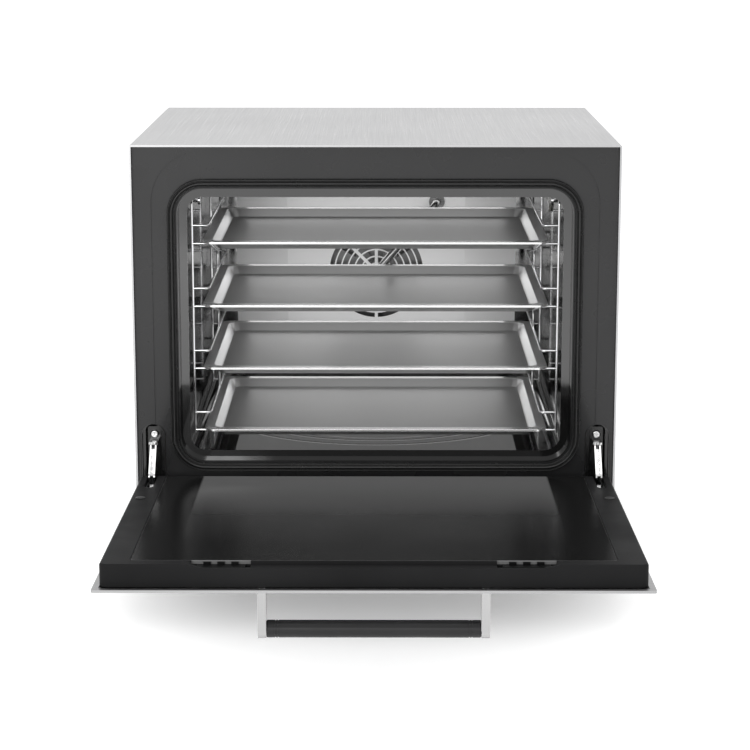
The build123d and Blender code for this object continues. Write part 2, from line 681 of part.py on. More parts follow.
# ---------------------------------------------------------------- hinges
def arm_outline(grow):
    """Side view of a hinge arm: boss on the pin, bent shank, upper end in the pocket."""
    discs = [(PIVOT_Y, PIVOT_Z, 8.0), (PIVOT_Y + 1, PIVOT_Z + 17, 7.6), (FRONT + 11, ARM_ROOT_Z, 6.5)]
    outline = None
    for (y0, z0, r0), (y1, z1, r1) in zip(discs, discs[1:]):
        link = make_hull((Pos(y0, z0) * Circle(r0 + grow) + Pos(y1, z1) * Circle(r1 + grow)).edges())
        outline = link if outline is None else outline + link
    return outline


def across(sketch, x, half):
    """A side-view outline, drawn in Y and Z, made solid for a half thickness on each side of x."""
    plane = Plane(origin=(x - half, 0, 0), x_dir=(0, 1, 0), z_dir=(1, 0, 0))
    return plane * extrude(sketch, 2 * half)


def hinge_arm(side):
    """Channel-section steel arm, fixed in the front frame's pocket, with the door pin in its lower boss."""
    x = side * HINGE_X
    arm = across(arm_outline(0), x, HINGE_ARM / 2)
    arm -= Pos(0, -4.2, 2.6) * across(arm_outline(-2.4), x, HINGE_ARM / 2 - 1.8)
    arm += rod_x(PIVOT_Y, PIVOT_Z, 6.0, x - HINGE_ARM / 2, x + HINGE_ARM / 2)
    arm += block(x - 3, x + 3, FRONT + 11, RECEIVER_Y - 0.1, ARM_ROOT_Z - 6, ARM_ROOT_Z + 4)
    arm += block(x - 5.5, x + 5.5, FRONT + 4, RECEIVER_Y - 0.1, ARM_ROOT_Z + 3, ARM_ROOT_Z + 6)
    arm -= rod_x(PIVOT_Y, PIVOT_Z, PIN_RADIUS, x - 20, x + 20)
    return arm


def hinge_receiver():
    """Steel blocks behind the pockets that carry the arms."""
    blocks = []
    for side in (-1, 1):
        x = side * HINGE_X
        z0, z1 = FRAME_BOTTOM + 2, RECESS_TOP - 7
        body = block(x - 8.5, x + 8.5, RECEIVER_Y, FRAME_Y + POCKET_DEPTH - SHEET - 0.1, z0, z1)
        blocks.append(fillet(body.edges().filter_by(Axis.Y), 3))
    return group(*blocks)


def hinge_screws():
    """Screws that hold the arms to the receivers."""
    screws = [pan_screw(side * HINGE_X, RECEIVER_Y, RECEIVER_SCREW_Z, 5.3, 3.4) for side in (-1, 1)]
    return group(*screws)


def hinge_pins():
    """Pins fixed in the arms, on which the door's channels turn."""
    pins = []
    for side in (-1, 1):
        x = side * HINGE_X
        pin = rod_x(PIVOT_Y, PIVOT_Z, PIN_RADIUS, x - CHANNEL_HALF - 1.6, x + CHANNEL_HALF + 1.6)
        pins.append(chamfer(pin.edges().filter_by(GeomType.CIRCLE), 0.4))
    return group(*pins)


# ---------------------------------------------------------------- door, modelled closed
def hinge_channel(side):
    """Steel U-channel in the door that turns on the hinge pin and guides the spring."""
    x = side * HINGE_X
    y0, y1 = DOOR_OUTER_Y + 3.2, FACE_BACK - 0.2
    channel = block(x - CHANNEL_HALF, x + CHANNEL_HALF, y0, y1, DOOR_BOTTOM + 4, CHANNEL_TOP)
    inner = CHANNEL_HALF - 1.4
    channel -= block(x - inner, x + inner, y0 + 1.2, y1 + 1, DOOR_BOTTOM, CHANNEL_TOP + 1)
    channel -= rod_x(PIVOT_Y, PIVOT_Z, PIN_RADIUS + PIN_PLAY, x - 20, x + 20)
    channel += block(x - inner, x + inner, y0 + 1, y1 - 1, CHANNEL_TOP - 3, CHANNEL_TOP)
    return opened(channel)


def hinge_spring(side):
    """Coil spring that balances the door, inside its channel."""
    height = CHANNEL_TOP - 3.5 - SPRING_BOTTOM
    coil = Helix(pitch=SPRING_PITCH, height=height - 3, radius=SPRING_RADIUS)
    section = Plane(origin=coil @ 0, z_dir=coil % 0) * Circle(SPRING_WIRE)
    spring = sweep(section, path=coil)
    middle = (DOOR_OUTER_Y + 4.4 + FACE_BACK) / 2
    return opened(Pos(side * HINGE_X, middle, SPRING_BOTTOM + 1.5) * spring)


def door_slot(side, y0, y1):
    """Slot in the inner frame that the hinge arm swings through."""
    x = side * HINGE_X
    slot = block(x - SLOT_HALF, x + SLOT_HALF, y0, y1, DOOR_BOTTOM - 5, SLOT_TOP - SLOT_HALF)
    return slot + rod_y(x, SLOT_TOP - SLOT_HALF, SLOT_HALF, y0, y1)


def door_inner_frame():
    """Deep black frame of the door's inner side, with a seat for the glass and a dipped front rim."""
    skin = FRAME_SKIN
    frame = front_slab(FRAME_HALF, DOOR_BOTTOM + 1, FRAME_TOP, 9, DOOR_OUTER_Y + 3, DOOR_INNER_Y)
    frame = fillet(frame.faces().sort_by(Axis.Y)[-1].edges(), 2.5)
    frame -= front_slab(
        FRAME_HALF - skin, DOOR_BOTTOM + 1 + skin, FRAME_TOP - skin, 7, DOOR_OUTER_Y, FACE_BACK)
    frame -= front_slab(
        GLASS_HALF + 0.5, GLASS_BOTTOM - 0.5, GLASS_TOP + 0.5, 6.5, GLASS_BACK - 0.1, DOOR_INNER_Y + 5)
    frame -= front_slab(GLASS_HALF - 18, GLASS_BOTTOM + 18, GLASS_TOP - 18, 10, FACE_BACK - 5, FRONT)
    dip = Polyline(
        (-DIP_HALF - DIP_RAMP, DOOR_INNER_Y), (-DIP_HALF, DOOR_INNER_Y - DIP_DEPTH),
        (DIP_HALF, DOOR_INNER_Y - DIP_DEPTH), (DIP_HALF + DIP_RAMP, DOOR_INNER_Y),
        (DIP_HALF + DIP_RAMP, DOOR_INNER_Y + 5), (-DIP_HALF - DIP_RAMP, DOOR_INNER_Y + 5), close=True,
    )
    frame -= Pos(0, 0, GLASS_TOP + 3) * extrude(make_face(dip), 40)
    for side in (-1, 1):
        frame -= door_slot(side, FACE_BACK - 2, DOOR_INNER_Y + 5)
        low, high = sorted((side * (CLIP_X - 32), side * (CLIP_X + 32)))
        frame -= block(low, high, FACE_BACK - 1, DOOR_INNER_Y + 1, GLASS_TOP, FRAME_TOP - 6)
        frame -= rod_y(side * PLUG_X, PLUG_Z, 4.0, FACE_BACK - 1, DOOR_INNER_Y + 1)
    return opened(frame)


def door_inner_glass():
    """Inner pane, lying in the frame's seat."""
    pane = front_slab(GLASS_HALF, GLASS_BOTTOM, GLASS_TOP, 6, GLASS_BACK, DOOR_INNER_Y - 0.2)
    return opened(chamfer(pane.faces().sort_by(Axis.Y)[-1].edges(), 0.6))


def glass_clips():
    """Sprung clips at the pane's top edge that let it be taken out."""
    clips = []
    for side in (-1, 1):
        x = side * CLIP_X
        clip = block(
            x - CLIP_HALF, x + CLIP_HALF, FACE_BACK + 0.3, GLASS_BACK, GLASS_TOP + 0.6, FRAME_TOP - 7
        )
        for step in (-15, 0, 15):
            clip += block(
                x + step - 4, x + step + 4, GLASS_BACK - 0.2, DOOR_INNER_Y - 1.2,
                GLASS_TOP + 0.6, GLASS_TOP + 3)
        clips.append(clip)
    return opened(group(*clips))


def frame_plugs():
    """Oval-headed screws that hold the inner frame to the door."""
    plugs = []
    for side in (-1, 1):
        x = side * PLUG_X
        plug = rod_y(x, PLUG_Z, 3.7, FACE_BACK, DOOR_INNER_Y)
        plug += rod_y(x, PLUG_Z, 6.0, DOOR_INNER_Y, DOOR_INNER_Y + 1.0)
        slot = Pos(x, DOOR_INNER_Y + 1, PLUG_Z) * Box(7, 1, 1.2)
        plugs.append(plug - slot)
    return opened(group(*plugs))


def door_outer_panel():
    """Steel outer skin with a hemmed edge and a window opening."""
    panel = front_slab(HALF, DOOR_BOTTOM, DOOR_TOP, 2.5, DOOR_OUTER_Y, DOOR_OUTER_Y + 3)
    panel -= front_slab(
        HALF - 7, DOOR_BOTTOM + 7, DOOR_TOP - 7, 2, DOOR_OUTER_Y + SHEET, DOOR_OUTER_Y + 5)
    panel += front_slab(
        WINDOW_HALF + 25, WINDOW_BOTTOM - 25, WINDOW_TOP + 20, 12, DOOR_OUTER_Y + SHEET, DOOR_OUTER_Y + 3)
    panel -= front_slab(WINDOW_HALF, WINDOW_BOTTOM, WINDOW_TOP, 8, DOOR_OUTER_Y - 5, DOOR_OUTER_Y + 5)
    for side in (-1, 1):
        panel -= rod_y(side * HANDLE_X, GRIP_Z, SCREW_RADIUS + 0.1, DOOR_OUTER_Y - 5, DOOR_OUTER_Y + 5)
    return opened(panel)


def door_outer_glass():
    """Dark outer pane bonded behind the window opening, with a raised middle that fills it."""
    pane = front_slab(
        WINDOW_HALF + 15, WINDOW_BOTTOM - 15, WINDOW_TOP + 12, 10, DOOR_OUTER_Y + 3.1, DOOR_OUTER_Y + 7)
    pane += front_slab(
        WINDOW_HALF - 0.5, WINDOW_BOTTOM + 0.5, WINDOW_TOP - 0.5, 7.5, DOOR_OUTER_Y + 0.5, DOOR_OUTER_Y + 4)
    return opened(pane)


def handle_bracket(side):
    """Flat steel bracket with a rounded end round the grip."""
    x = side * HANDLE_X
    bracket = block(
        x - BRACKET_HALF, x + BRACKET_HALF, GRIP_Y, DOOR_OUTER_Y - 0.1, GRIP_Z - 11.5, GRIP_Z + 11.5
    )
    end = rod_x(GRIP_Y, GRIP_Z, GRIP_DIAMETER / 2, x - BRACKET_HALF, x + BRACKET_HALF)
    tip = GRIP_Y - GRIP_DIAMETER / 2
    nose = block(x - BRACKET_HALF, x + BRACKET_HALF, tip, GRIP_Y, GRIP_Z - 4, GRIP_Z + 4)
    bracket += end + nose
    bracket = chamfer(bracket.faces().sort_by(Axis.X)[0].edges(), 0.5)
    bracket -= rod_x(GRIP_Y, GRIP_Z, TUBE_RADIUS + 0.05, x - 20, x + 20)
    bracket -= rod_y(x, GRIP_Z, SCREW_RADIUS + 0.1, DOOR_OUTER_Y - 12, DOOR_OUTER_Y + 5)
    return opened(bracket)


def handle_tube():
    """Steel core of the handle, held in the brackets."""
    reach = HANDLE_X + BRACKET_HALF
    return opened(rod_x(GRIP_Y, GRIP_Z, TUBE_RADIUS, -reach, reach))


def handle_grip():
    """Black round grip with fine ribs near its ends."""
    half = HANDLE_X - BRACKET_HALF - 0.2
    grip = rod_x(GRIP_Y, GRIP_Z, GRIP_DIAMETER / 2, -half, half)
    grip = fillet(grip.edges().filter_by(GeomType.CIRCLE), 1.0)
    grip -= rod_x(GRIP_Y, GRIP_Z, TUBE_RADIUS + 0.05, -half - 1, half + 1)
    for side in (-1, 1):
        for x in (half - 10, half - 13):
            low, high = sorted((side * x, side * (x + 1)))
            ring = rod_x(GRIP_Y, GRIP_Z, GRIP_DIAMETER, low, high)
            grip -= ring - rod_x(GRIP_Y, GRIP_Z, GRIP_DIAMETER / 2 - 0.6, low - 1, high + 1)
    return opened(grip)


def handle_screws():
    """Screws from inside the door into the brackets."""
    screws = []
    for side in (-1, 1):
        x = side * HANDLE_X
        screw = rod_y(x, GRIP_Z, SCREW_RADIUS, DOOR_OUTER_Y - 11, DOOR_OUTER_Y + SHEET + 1)
        screw += rod_y(x, GRIP_Z, 4.0, DOOR_OUTER_Y + SHEET + 0.05, DOOR_OUTER_Y + 2.9)
        screws.append(screw)
    return opened(group(*screws))


# ---------------------------------------------------------------- control panel
def control_panel():
    """Folded steel fascia under the door, open behind, with holes for the controls."""
    panel = block(-HALF, HALF, PANEL_Y, FRONT - 0.1, PANEL_BOTTOM, PANEL_TOP)
    panel = fillet(panel.edges().filter_by(Axis.X).sort_by(Axis.Y)[:2], 2.5)
    panel -= block(
        -HALF + SHEET, HALF - SHEET, PANEL_Y + SHEET, FRONT + 5, PANEL_BOTTOM + SHEET, PANEL_TOP - SHEET)
    for x in KNOB_XS:
        panel -= rod_y(x, CONTROL_Z, SPINDLE_RADIUS + 1, PANEL_Y - 5, PANEL_Y + 5)
        for mark in range(DIAL_MARKS):
            angle = math.radians(-60 + mark * 30)
            mark_x = x + DIAL_RADIUS * math.cos(angle)
            mark_z = CONTROL_Z + DIAL_RADIUS * math.sin(angle)
            panel -= rod_y(mark_x, mark_z, 0.9, PANEL_Y - 1, PANEL_Y + 0.4)
    for x in BUTTON_XS:
        panel -= rod_y(x, CONTROL_Z, BUTTON_RADIUS + 0.4, PANEL_Y - 5, PANEL_Y + 5)
    for x in LAMP_XS:
        panel -= rod_y(x, CONTROL_Z, 4.0, PANEL_Y - 5, PANEL_Y + 5)
    return panel


def knob(x):
    """Round control knob with a pointer ridge and its own spindle."""
    knob_front, knob_back = PANEL_Y - 19, PANEL_Y - 1
    body = rod_y(x, CONTROL_Z, KNOB_RADIUS, knob_front, knob_back)
    body = fillet(body.edges().filter_by(GeomType.CIRCLE).sort_by(Axis.Y)[0], 2.0)
    ridge = block(
        x - 4, x + 4, knob_front - 4, knob_front + 1,
        CONTROL_Z - KNOB_RADIUS + 2, CONTROL_Z + KNOB_RADIUS - 2,
    )
    body += fillet(ridge.edges().filter_by(Axis.Y), 3.5)
    body -= block(x - 0.7, x + 0.7, knob_front - 5, knob_front - 3.4, CONTROL_Z + 4, CONTROL_Z + 16)
    return body + rod_y(x, CONTROL_Z, SPINDLE_RADIUS, knob_back - 1, SWITCH_Y + 10)


def switch_units():
    """Timer, thermostat and humidity switches behind the fascia, bored for the knob spindles."""
    units = []
    for x in KNOB_XS:
        unit = block(x - 17, x + 17, SWITCH_Y, SWITCH_Y + 24, CONTROL_Z - 17, CONTROL_Z + 17)
        unit = chamfer(unit.edges().filter_by(Axis.Y), 3)
        unit += rod_y(x, CONTROL_Z, 8, PANEL_Y + SHEET + 0.1, SWITCH_Y)
        for offset in (-8, 0, 8):
            unit += block(
                x + offset - 2.4, x + offset + 2.4, SWITCH_Y + 24, SWITCH_Y + 31,
                CONTROL_Z - 0.4, CONTROL_Z + 0.4,
            )
        unit -= rod_y(x, CONTROL_Z, SPINDLE_RADIUS + PIN_PLAY, PANEL_Y, SWITCH_Y + 12)
        units.append(unit)
    return group(*units)


def push_button(x):
    """Round push button with a dished face and a stem into its switch."""
    button = rod_y(x, CONTROL_Z, BUTTON_RADIUS, PANEL_Y - 5, PANEL_Y + 2)
    button = fillet(button.edges().filter_by(GeomType.CIRCLE).sort_by(Axis.Y)[0], 1.2)
    button -= Pos(x, PANEL_Y - 5 - 28.8, CONTROL_Z) * Sphere(30)
    return button + rod_y(x, CONTROL_Z, BUTTON_STEM, PANEL_Y + 1, SWITCH_Y + 8)


def button_switches():
    """Housings behind the push buttons, bored for their stems."""
    units = []
    for x in BUTTON_XS:
        unit = block(x - 10, x + 10, SWITCH_Y, SWITCH_Y + 20, CONTROL_Z - 10, CONTROL_Z + 10)
        unit -= rod_y(x, CONTROL_Z, BUTTON_STEM + PIN_PLAY, SWITCH_Y - 1, SWITCH_Y + 14)
        units.append(unit)
    return group(*units)


def indicator_lenses():
    """Small domed lamp lenses set in the fascia."""
    lenses = []
    for x in LAMP_XS:
        lens = rod_y(x, CONTROL_Z, 3.9, PANEL_Y - 0.5, PANEL_Y + 9)
        lens += rod_y(x, CONTROL_Z, 5.5, PANEL_Y - 1.8, PANEL_Y - 0.1)
        lens = fillet(lens.edges().filter_by(GeomType.CIRCLE).sort_by(Axis.Y)[0], 1.2)
        lenses.append(lens)
    return group(*lenses)


# ---------------------------------------------------------------- services
def control_board():
    """Circuit board on spacers, with relays and a transformer."""
    z = BASE_Z + SHEET + 8
    board = block(-190, -60, -120, -20, z, z + 1.6)
    for x in (-182, -68):
        for y in (-112, -28):
            board += rod_z(x, y, 3, BASE_Z + SHEET + 0.1, z)
    for index in range(4):
        board += block(-184 + index * 22, -168 + index * 22, -60, -32, z + 1.6, z + 18)
    board += block(-112, -72, -110, -70, z + 1.6, z + 34)
    for index in range(3):
        board += rod_z(-176 + index * 14, -92, 5, z + 1.6, z + 20)
    return board


def terminal_block():
    """Mains terminal block on the base plate, near the cable gland."""
    z = BASE_Z + SHEET + 0.1
    body = block(GLAND_X - 30, GLAND_X + 30, 170, 192, z, z + 20)
    for index in range(5):
        x = GLAND_X - 24 + index * 12
        body -= rod_z(x, 181, 3, z + 8, z + 25)
        body -= rod_y(x, z + 6, 2.2, 165, 196)
    return body


def cable_gland():
    """Mains cable gland through the rear panel, without a cable."""
    gland = rod_y(GLAND_X, SERVICE_Z, 10.5, BACK - 10, BACK + 3)
    nut = RegularPolygon(15, 6)
    gland += Pos(GLAND_X, BACK + 6.1, SERVICE_Z) * Rot(90, 0, 0) * extrude(nut, 6)
    gland += Pos(GLAND_X, BACK - SHEET - 0.1, SERVICE_Z) * Rot(90, 0, 0) * extrude(nut, 4)
    dome = Pos(GLAND_X, BACK + 6 + 7, SERVICE_Z) * Rot(-90, 0, 0) * Cone(12.5, 9.5, 14)
    gland += dome
    return gland - rod_y(GLAND_X, SERVICE_Z, GLAND_BORE, BACK - 30, BACK + 40)


def water_valve():
    """Solenoid valve with its threaded inlet through the rear panel."""
    valve = rod_y(INLET_X, SERVICE_Z, INLET_RADIUS, BACK + 0.05, BACK + INLET_LENGTH + 0.05)
    valve += rod_y(INLET_X, SERVICE_Z, 14.0, BACK - 14, BACK + 0.05)
    valve += block(
        INLET_X - VALVE_HALF, INLET_X + VALVE_HALF, BACK - 44, BACK - 14,
        SERVICE_Z - VALVE_HALF, SERVICE_Z + VALVE_HALF,
    )
    valve += rod_z(INLET_X, BACK - 29, 14, SERVICE_Z + VALVE_HALF, SERVICE_Z + 38)
    valve += rod_x(BACK - 29, SERVICE_Z, NOZZLE_RADIUS, INLET_X + VALVE_HALF, INLET_X + 32)
    return valve - rod_y(INLET_X, SERVICE_Z, 9.0, BACK - 10, BACK + 30)


def water_line():
    """Hose from the valve up behind the cavity to the steam pipe."""
    y = BACK - 29
    start = INLET_X + 26
    line = FilletPolyline(
        (start, y, SERVICE_Z), (PIPE_X, y, SERVICE_Z), (PIPE_X, y, PIPE_Z),
        (PIPE_X, CAVITY_BACK + 4, PIPE_Z), radius=10)
    section = Plane(origin=line @ 0, z_dir=line % 0) * Circle(HOSE_RADIUS)
    hose = sweep(section, path=line)
    hose -= rod_y(PIPE_X, PIPE_Z, PIPE_RADIUS + 0.1, CAVITY_BACK - 5, CAVITY_BACK + 20.5)
    return hose - rod_x(y, SERVICE_Z, NOZZLE_RADIUS + 0.1, INLET_X, INLET_X + 32.5)


def exhaust_pipe():
    """Steam outlet from the cavity's roof to a spigot through the rear panel."""
    inner = EXHAUST_RADIUS - 3
    pipe = rod_y(EXHAUST_X, EXHAUST_Z, EXHAUST_RADIUS - 1, EXHAUST_Y - 18, BACK)
    pipe += rod_y(EXHAUST_X, EXHAUST_Z, EXHAUST_RADIUS, BACK, BACK + EXHAUST_LENGTH)
    pipe += rod_z(EXHAUST_X, EXHAUST_Y, EXHAUST_RADIUS - 1, CAVITY_TOP + LINER + 0.1, EXHAUST_Z)
    pipe -= rod_y(EXHAUST_X, EXHAUST_Z, inner, EXHAUST_Y - 16, BACK + 60)
    return pipe - rod_z(EXHAUST_X, EXHAUST_Y, inner, CAVITY_TOP, EXHAUST_Z)


def cooling_fan_housing():
    """Square axial fan frame on the rear panel, its hub held by struts."""
    y1 = BACK - SHEET - 0.2
    y0 = y1 - COOLER_DEPTH
    z = COOLER_Z
    housing = block(COOLER_X - COOLER_HALF, COOLER_X + COOLER_HALF, y0, y1, z - COOLER_HALF, z + COOLER_HALF)
    housing = fillet(housing.edges().filter_by(Axis.Y), 5)
    housing -= rod_y(COOLER_X, z, COOLER_BORE, y0 - 1, y1 + 1)
    housing += rod_y(COOLER_X, z, 13, y1 - 3, y1)
    struts = block(-COOLER_BORE - 1, COOLER_BORE + 1, y1 - 3, y1, -1.5, 1.5)
    for turn in (0, 60, 120):
        housing += Pos(COOLER_X, 0, z) * Rot(0, turn, 0) * struts
    housing += rod_y(COOLER_X, z, 1.5, y0 + 8, y1 - 3)
    return housing


def cooling_fan_wheel():
    """Seven-bladed wheel on the housing's pin."""
    y0, y1 = BACK - SHEET - 24, BACK - SHEET - 4.4
    z = COOLER_Z
    wheel = rod_y(COOLER_X, z, 12, y0, y1)
    vane = Pos(24, (y0 + y1) / 2, 0) * Rot(38, 0, 0) * Box(25, 17, 1.2)
    for index in range(VANES):
        wheel += Pos(COOLER_X, 0, z) * Rot(0, index * 360 / VANES, 0) * vane
    return wheel - rod_y(COOLER_X, z, 1.5 + PIN_PLAY, y0 + 5, y1 + 1)


# ---------------------------------------------------------------- write every node
os.makedirs("parts", exist_ok=True)

nodes = {
    "outer_casing": outer_casing(),
    "base_plate": base_plate(),
    "rear_panel": rear_panel(),
    "rear_screws": screw_grid((-285, 0, 285), (60, 510), BACK + 0.05, 4.0, 1),
    "feet": feet(),
    "front_frame": front_frame(),
    "hinge_receivers": hinge_receiver(),
    "hinge_screws": hinge_screws(),
    "hinge_pins": hinge_pins(),
    "cavity_liner": cavity_liner(),
    "door_gasket": door_gasket(),
    "insulation": insulation(),
    "fan_cover": fan_cover(),
    "fan_cover_screws": screw_grid((-110, 110), (202, 430), COVER_Y - 0.05, 4.0, -1),
    "fan_wheel": fan_wheel(),
    "fan_motor": fan_motor(),
    "heating_element": heating_element(),
    "steam_pipe": steam_pipe(),
    "temperature_probe": temperature_probe(),
    "lamp_housing": lamp_housing(),
    "lamp_bulb": lamp_bulb(),
    "lamp_lens": lamp_lens(),
    "rack_studs": rack_studs(),
    "control_panel": control_panel(),
    "switch_units": switch_units(),
    "button_switches": button_switches(),
    "indicator_lenses": indicator_lenses(),
    "control_board": control_board(),
    "terminal_block": terminal_block(),
    "cable_gland": cable_gland(),
    "water_valve": water_valve(),
    "water_line": water_line(),
    "exhaust_pipe": exhaust_pipe(),
    "cooling_fan_housing": cooling_fan_housing(),
    "cooling_fan_wheel": cooling_fan_wheel(),
    "door_inner_frame": door_inner_frame(),
    "door_inner_glass": door_inner_glass(),
    "glass_clips": glass_clips(),
    "frame_plugs": frame_plugs(),
    "door_outer_panel": door_outer_panel(),
    "door_outer_glass": door_outer_glass(),
    "handle_tube": handle_tube(),
    "handle_grip": handle_grip(),
    "handle_screws": handle_screws(),
}
for name, make in (
    ("hinge_pockets", hinge_pocket),
    ("hinge_arms", hinge_arm),
    ("hinge_channels", hinge_channel),
    ("hinge_springs", hinge_spring),
    ("handle_brackets", handle_bracket),
):
    nodes[name] = group(make(-1), make(1))
for label, side in (("left", -1), ("right", 1)):
    nodes[f"side_rack_{label}"] = side_rack(side)
for level in range(TRAY_COUNT):
    nodes[f"tray_{level + 1}"] = tray(level)
for name, x in zip(("temperature", "timer", "humidity"), KNOB_XS):
    nodes[f"{name}_knob"] = knob(x)
for name, x in zip(("light", "start"), BUTTON_XS):
    nodes[f"{name}_button"] = push_button(x)

for name, shape in nodes.items():
    save(name, shape)
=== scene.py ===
import math

import bmesh
import bpy
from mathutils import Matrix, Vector

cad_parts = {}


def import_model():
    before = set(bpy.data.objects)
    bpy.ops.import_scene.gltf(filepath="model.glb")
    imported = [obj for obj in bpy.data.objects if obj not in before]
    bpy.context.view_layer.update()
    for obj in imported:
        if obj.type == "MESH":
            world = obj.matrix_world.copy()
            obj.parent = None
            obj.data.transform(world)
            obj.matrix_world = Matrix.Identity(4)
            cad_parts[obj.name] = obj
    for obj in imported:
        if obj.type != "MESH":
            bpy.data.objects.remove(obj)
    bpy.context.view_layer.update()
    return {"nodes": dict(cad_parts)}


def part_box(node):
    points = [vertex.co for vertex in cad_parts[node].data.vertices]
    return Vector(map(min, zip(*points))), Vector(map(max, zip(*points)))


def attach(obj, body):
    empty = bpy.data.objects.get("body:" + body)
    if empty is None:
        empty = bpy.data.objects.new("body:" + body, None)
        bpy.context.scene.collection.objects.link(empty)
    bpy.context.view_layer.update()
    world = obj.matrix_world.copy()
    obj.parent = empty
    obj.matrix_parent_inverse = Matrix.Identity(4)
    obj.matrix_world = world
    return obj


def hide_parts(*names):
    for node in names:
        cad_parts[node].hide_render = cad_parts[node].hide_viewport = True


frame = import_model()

NODES = frame["nodes"]
MM = 0.001
ALONG_DEPTH = (900, 6, 900)  # texture scales of sheet brushed along Y
ALONG_WIDTH = (6, 900, 900)  # texture scales of sheet brushed along X
PRINT_EDGE = 1.5 * MM  # half width of the soft edge of the print on the inner glass
PRINT_FRONT = 72 * MM  # width of the printed border at the far edge of the inner glass
PRINT_REAR = 20 * MM  # how far past the near edge the clear part runs, so no border shows there
WINDOW_HALF = 215 * MM  # half width of the clear part
LIP_DEEP = (18 * MM, 40 * MM)  # how deep the painted dark reflection and shade on the cavity's front lip starts and ends to fade
OVAL_HALF = (0.200, 0.165)  # half axes of the outermost oval bead on the cavity floor
OVAL_BEADS = (0.72, 0.86, 1.0)  # size of each bead as a part of the outermost
BEAD_HALF = 0.03  # half width of a bead, on the same scale
OVAL_SPAN = (0.66, 1.06)  # part of that scale on which beads are drawn
FLOOR_BAND = (0.1405, 0.1415)  # heights over which the beads end, just above the floor
TRAY_SIDE = 19 * MM  # width of a sloping side of a tray and its flange
TRAY_MIDDLE = 20.5 * MM  # distance from the edge at which a tray has its middle finish
TRAY_FRONT = 13 * MM  # width of the front flange of a tray, which has a painted highlight
TRAY_LEVELS = range(1, 5)
GASKET_RADIUS = 44 * MM  # outer corner radius of the door gasket


# ---------------------------------------------------------------- materials
def grey(value):
    return (value, value, value)


class Paint:
    """A principled material and short ways to drive its sockets from procedural textures."""

    def __init__(self, name, color, roughness, metallic=0.0, **sockets):
        self.material = bpy.data.materials.new(name)
        self.material.use_nodes = True
        self.tree = self.material.node_tree
        self.shader = self.tree.nodes["Principled BSDF"]
        self.color = color
        self.roughness = roughness
        self.shader.inputs["Base Color"].default_value = (*color, 1)
        self.shader.inputs["Roughness"].default_value = roughness
        self.shader.inputs["Metallic"].default_value = metallic
        for socket, value in sockets.items():
            self.shader.inputs[socket.replace("_", " ")].default_value = value
        self.place = self.node("ShaderNodeTexCoord")

    def node(self, kind, **inputs):
        made = self.tree.nodes.new(kind)
        for socket, value in inputs.items():
            made.inputs[socket.replace("_", " ")].default_value = value
        return made

    def link(self, out, into):
        self.tree.links.new(out, into)

    def noise(self, scale, detail=3.0, roughness=0.55):
        """Noise over the object's own coordinates, stretched by a scale for each axis."""
        mapping = self.node("ShaderNodeMapping")
        mapping.inputs["Scale"].default_value = scale
        self.link(self.place.outputs["Object"], mapping.inputs["Vector"])
        noise = self.node("ShaderNodeTexNoise", Scale=1.0, Detail=detail, Roughness=roughness)
        self.link(mapping.outputs["Vector"], noise.inputs["Vector"])
        return noise.outputs["Fac"]

    def remap(self, value, low, high, from_low=0.3, from_high=0.7):
        made = self.node("ShaderNodeMapRange")
        made.inputs["From Min"].default_value = from_low
        made.inputs["From Max"].default_value = from_high
        made.inputs["To Min"].default_value = low
        made.inputs["To Max"].default_value = high
        self.link(value, made.inputs["Value"])
        return made.outputs["Result"]

    def vary_roughness(self, value, spread):
        low, high = max(0.02, self.roughness - spread), min(1.0, self.roughness + spread)
        self.link(self.remap(value, low, high), self.shader.inputs["Roughness"])
        return self

    def vary_color(self, value, spread):
        """Mixes between a darker and a lighter version of the colour."""
        mix = self.node("ShaderNodeMix")
        mix.data_type = "RGBA"
        dark = [c * (1 - spread) for c in self.color]
        light = [min(1, c * (1 + spread)) for c in self.color]
        mix.inputs[6].default_value = (*dark, 1)
        mix.inputs[7].default_value = (*light, 1)
        self.link(self.remap(value, 0, 1), mix.inputs[0])
        self.link(mix.outputs[2], self.shader.inputs["Base Color"])
        return self

    def bump(self, value, height, strength=0.4):
        made = self.node("ShaderNodeBump", Strength=strength, Distance=height)
        self.link(value, made.inputs["Height"])
        if self.shader.inputs["Normal"].links:
            self.link(self.shader.inputs["Normal"].links[0].from_socket, made.inputs["Normal"])
        self.link(made.outputs["Normal"], self.shader.inputs["Normal"])
        return self


def brushed(name, color, roughness, grain, spread=0.10, depth=0.00003, metallic=1.0):
    """Brushed sheet metal; grain is the texture scale on each axis, small along the brushing."""
    paint = Paint(name, color, roughness, metallic=metallic)
    lines = paint.noise(grain, detail=4, roughness=0.7)
    clouds = paint.noise((5, 5, 5), detail=2)
    paint.vary_roughness(lines, spread)
    paint.vary_color(clouds, 0.04)
    return paint.bump(lines, depth, 0.35)


def satin(name, color, roughness, metallic=1.0, mottle=0.05, scale=60):
    """Cast, rolled or plated metal with soft mottling and a fine tooth."""
    paint = Paint(name, color, roughness, metallic=metallic)
    paint.vary_roughness(paint.noise((scale, scale, scale)), 0.06)
    paint.vary_color(paint.noise((9, 9, 9)), mottle)
    return paint.bump(paint.noise((900, 900, 900), detail=2), 0.00002, 0.25)


def moulded(name, color, roughness, tooth=1500, depth=0.00004, **sockets):
    """Moulded plastic, rubber or glass with a fine tooth."""
    paint = Paint(name, color, roughness, **sockets)
    paint.vary_roughness(paint.noise((40, 40, 40)), 0.07)
    paint.vary_color(paint.noise((25, 25, 25)), 0.12)
    return paint.bump(paint.noise((tooth, tooth, tooth), detail=2), depth, 0.35)


